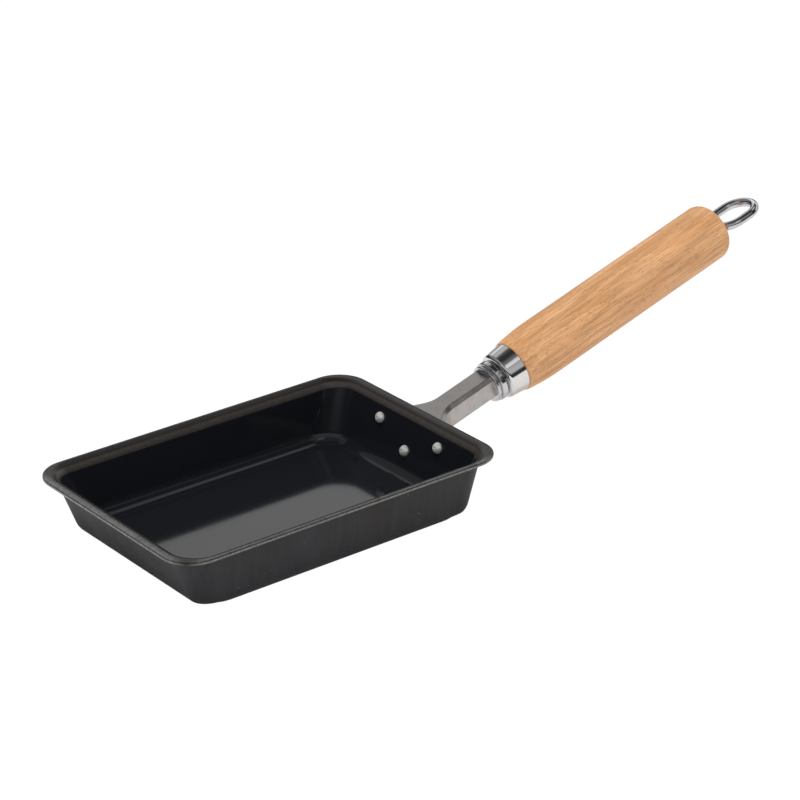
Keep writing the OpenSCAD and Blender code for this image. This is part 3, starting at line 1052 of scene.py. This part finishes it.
class PAN_OT_eye(bpy.types.Operator):
    """Bend the hanging eye on the end of its tie rod"""

    bl_idname = "pan.eye"
    bl_label = "Eye"

    def execute(self, context):
        scene = context.scene
        eye = scene.pan_eye
        bm = bmesh.new()
        wire_line(bm, [
            (eye.rod_start, 0), (eye.rod_start, eye.wire_radius),
            (eye.base, eye.wire_radius), (eye.base, 0),
        ])
        turn_about_x(bm, WIRE_SIDES)
        rod = set(bm.verts)
        eye_loop(bm, eye, eye.base + eye.length / 2)
        bmesh.ops.remove_doubles(bm, verts=[v for v in bm.verts if v not in rod], dist=MERGE)
        bmesh.ops.rotate(
            bm, matrix=Matrix.Rotation(eye.roll, 3, "X"), verts=[v for v in bm.verts if v not in rod]
        )
        bmesh.ops.recalc_face_normals(bm, faces=bm.faces)
        finish = bright_metal(scene, "eye_wire", scene.pan_colours.plate, 0.05, 0.12)
        finished_piece(
            "eye_and_rod", bm, finish, "tie_rod", ["hanging_eye"], on_handle(scene)
        )
        return {"FINISHED"}


# Stage


class StageSettings(bpy.types.PropertyGroup):
    """Camera, floor and lamps."""

    lens: FloatProperty(
        name="Lens", description="Focal length on a 36 mm sensor", default=135.196, min=1.0
    )
    azimuth: angle("Azimuth", "Camera's turn about the vertical; 0 looks along +Y", -37.91)
    elevation: angle("Elevation", "Camera's angle above the horizon", 24.70)
    roll: angle("Roll", "Camera's turn about its own axis", -0.521)
    across: size("Across", "Camera's shift to the right of the origin", 57.69)
    above: size("Above", "Camera's shift up from the origin", 54.73)
    distance: size("Distance", "Camera's distance from the origin", 1345.9)
    floor_reach: size("Floor reach", "Half width of the floor", 4000)
    key_power: FloatProperty(
        name="Key power", description="Power of the large lamp above the pan",
        default=8.0, min=0.0, unit="POWER",
    )
    fill_level: FloatProperty(
        name="Fill level", description="Level of the light from all round", default=0.74, min=0.0
    )


def camera_axes(stage):
    """Right, up and back directions of the camera."""
    turn, rise = stage.azimuth, stage.elevation
    back = Vector((
        math.sin(turn) * math.cos(rise), -math.cos(turn) * math.cos(rise), math.sin(rise)
    ))
    level = Vector((math.cos(turn), math.sin(turn), 0))
    upright = back.cross(level)
    right = level * math.cos(stage.roll) + upright * math.sin(stage.roll)
    return right, back.cross(right), back


def set_camera(scene):
    stage = scene.pan_stage
    right, up, back = camera_axes(stage)
    camera = bpy.data.objects.new("camera", bpy.data.cameras.new("camera"))
    camera.data.lens = stage.lens
    camera.data.sensor_width = 36
    camera.data.clip_end = 100
    turned = Matrix((right, up, back)).transposed().to_4x4()
    spot = right * stage.across + up * stage.above + back * stage.distance
    camera.matrix_world = Matrix.Translation(spot) @ turned
    scene.collection.objects.link(camera)
    scene.camera = camera


def lay_floor(scene):
    """Pale floor that keeps the shadow and looks white to the camera."""
    finish = new_finish("pale_floor")
    rays = finish.node("ShaderNodeLightPath", output=0)
    lit = finish.node(
        "ShaderNodeBsdfDiffuse", {}, {"Color": (*scene.pan_colours.floor, 1)}
    )
    white = finish.node("ShaderNodeEmission", {}, {"Color": (1, 1, 1, 1), "Strength": 1.04})
    shader = finish.node("ShaderNodeMixShader", {}, {0: rays * FLOOR_CLEAR, 1: lit, 2: white})
    finish.node("ShaderNodeOutputMaterial", {}, {"Surface": shader})
    bm = bmesh.new()
    bmesh.ops.create_grid(bm, x_segments=1, y_segments=1, size=scene.pan_stage.floor_reach)
    bmesh.ops.translate(bm, vec=(0, 0, -FLOOR_GAP), verts=bm.verts)
    mesh = bpy.data.meshes.new("floor")
    bm.to_mesh(mesh)
    bm.free()
    mesh.materials.append(finish.owner)
    floor = bpy.data.objects.new("floor", mesh)
    scene.collection.objects.link(floor)


def light_studio(scene):
    """White wall beyond the pan, a dim one behind the camera and a dark ceiling, in gloss."""
    world = bpy.data.worlds.new("studio")
    scene.world = world
    finish = Finish(world)
    direction = finish.node("ShaderNodeTexCoord", output=0)
    away, aside = (
        finish.node(
            "ShaderNodeVectorMath", {"operation": "DOT_PRODUCT"}, {0: direction, 1: aim}, output=1
        )
        for aim in ((0.614, 0.789, 0.0), (-0.789, 0.614, 0.0))
    )
    rise = finish.split(direction)[2]
    ground = rise.ramp(-0.10, -0.02, 1.0, 0.0)
    doorway = aside.ramp(-0.42, -0.30) * aside.ramp(0.22, 0.34, 1.0, 0.0)
    horizon = rise.ramp(0.29, 0.38)
    upper = rise.ramp(0.47, 0.58)
    far_wall = horizon + (1 - horizon) * (1 - doorway) * 0.5
    far_wall = far_wall * (1 - upper + upper * aside.ramp(-0.05, 0.15, 0.06, 0.50))
    far_wall = far_wall * rise.ramp(0.80, 0.92, 1.0, 0.12) * away.ramp(0.10, 0.36)
    right = aside.ramp(0.32, 0.44)
    right_wall = rise.ramp(0.28, 0.42) * away.ramp(-0.30, -0.10, 0.0, 0.20)
    far_wall = far_wall + (right_wall - far_wall) * right
    panel = rise.ramp(0.70, 0.76) * rise.ramp(0.86, 0.92, 1.0, 0.0)
    panel = panel * aside.ramp(-0.50, -0.42) * aside.ramp(-0.22, -0.12, 0.6, 0.0)
    lofty = rise.ramp(0.50, 0.64) * away.ramp(-0.30, -0.05, 1.0, 0.0)
    near_wall = rise.ramp(0.22, 0.36) * away.ramp(-0.62, -0.45, 1.0, 0.0)
    near_wall = near_wall + (1 - near_wall) * lofty
    near_wall = near_wall * rise.ramp(0.56, 0.86, 0.47, 0.13)
    room = (far_wall + near_wall + panel) * (1 - ground) + ground * 0.9 + 0.03
    paths = finish.node("ShaderNodeLightPath")
    seen = {name: Wire(finish, paths.socket.node.outputs[name]) for name in (
        "Is Camera Ray", "Is Glossy Ray"
    )}
    level = room * seen["Is Glossy Ray"] + (1 - seen["Is Glossy Ray"]) * scene.pan_stage.fill_level
    level = seen["Is Camera Ray"] + (1 - seen["Is Camera Ray"]) * level
    shader = finish.node(
        "ShaderNodeBackground", {}, {"Color": (1, 1, 1, 1), "Strength": level}
    )
    finish.node("ShaderNodeOutputWorld", {}, {"Surface": shader})


def hang_lamp(scene, name, direction, distance, across, power):
    """Square soft lamp that faces the origin."""
    lamp = bpy.data.lights.new(name, "AREA")
    lamp.shape = "SQUARE"
    lamp.size = across
    lamp.energy = power
    piece = bpy.data.objects.new(name, lamp)
    piece.visible_glossy = False
    aim = Vector(direction).normalized()
    piece.matrix_world = Matrix.Translation(aim * distance) @ aim.to_track_quat(
        "Z", "Y"
    ).to_matrix().to_4x4()
    scene.collection.objects.link(piece)


class PAN_OT_stage(bpy.types.Operator):
    """Lay the floor, hang the lamps and set the camera"""

    bl_idname = "pan.stage"
    bl_label = "Stage"

    def execute(self, context):
        scene = context.scene
        set_camera(scene)
        lay_floor(scene)
        light_studio(scene)
        hang_lamp(scene, "key", (-0.10, 0.05, 0.99), 1.6, 0.7, scene.pan_stage.key_power)
        scene.view_settings.view_transform = "Standard"
        return {"FINISHED"}


OPERATORS = (
    PAN_OT_tray, PAN_OT_rivets, PAN_OT_bracket, PAN_OT_plug, PAN_OT_collar, PAN_OT_ferrule,
    PAN_OT_grip, PAN_OT_washer, PAN_OT_eye, PAN_OT_stage,
)
GROUPS = {
    "pan_tray": TraySizes, "pan_rivets": RivetSizes, "pan_bracket": BracketSizes,
    "pan_handle": HandleSizes, "pan_eye": EyeSizes, "pan_colours": PanColours,
    "pan_stage": StageSettings,
}


class PAN_PT_sidebar(bpy.types.Panel):
    """Lists the pan's pieces and its sizes and colours"""

    bl_idname = "PAN_PT_sidebar"
    bl_label = "Rolled-omelette Pan"
    bl_space_type = "VIEW_3D"
    bl_region_type = "UI"
    bl_category = "Pan"

    def draw(self, context):
        layout = self.layout
        for operator in OPERATORS:
            layout.operator(operator.bl_idname, text=operator.bl_label)
        for name, group in GROUPS.items():
            box = layout.box()
            box.label(text=group.__doc__)
            for key in group.__annotations__:
                box.prop(getattr(context.scene, name), key)


def register():
    for group in GROUPS.values():
        bpy.utils.register_class(group)
    for name, group in GROUPS.items():
        setattr(bpy.types.Scene, name, PointerProperty(type=group))
    for cls in (*OPERATORS, PAN_PT_sidebar):
        bpy.utils.register_class(cls)


def unregister():
    for cls in (PAN_PT_sidebar, *reversed(OPERATORS)):
        bpy.utils.unregister_class(cls)
    for name in GROUPS:
        delattr(bpy.types.Scene, name)
    for group in GROUPS.values():
        bpy.utils.unregister_class(group)


def main():
    register()
    for operator in OPERATORS:
        area, name = operator.bl_idname.split(".")
        getattr(getattr(bpy.ops, area), name)()


if __name__ == "__main__":
    main()
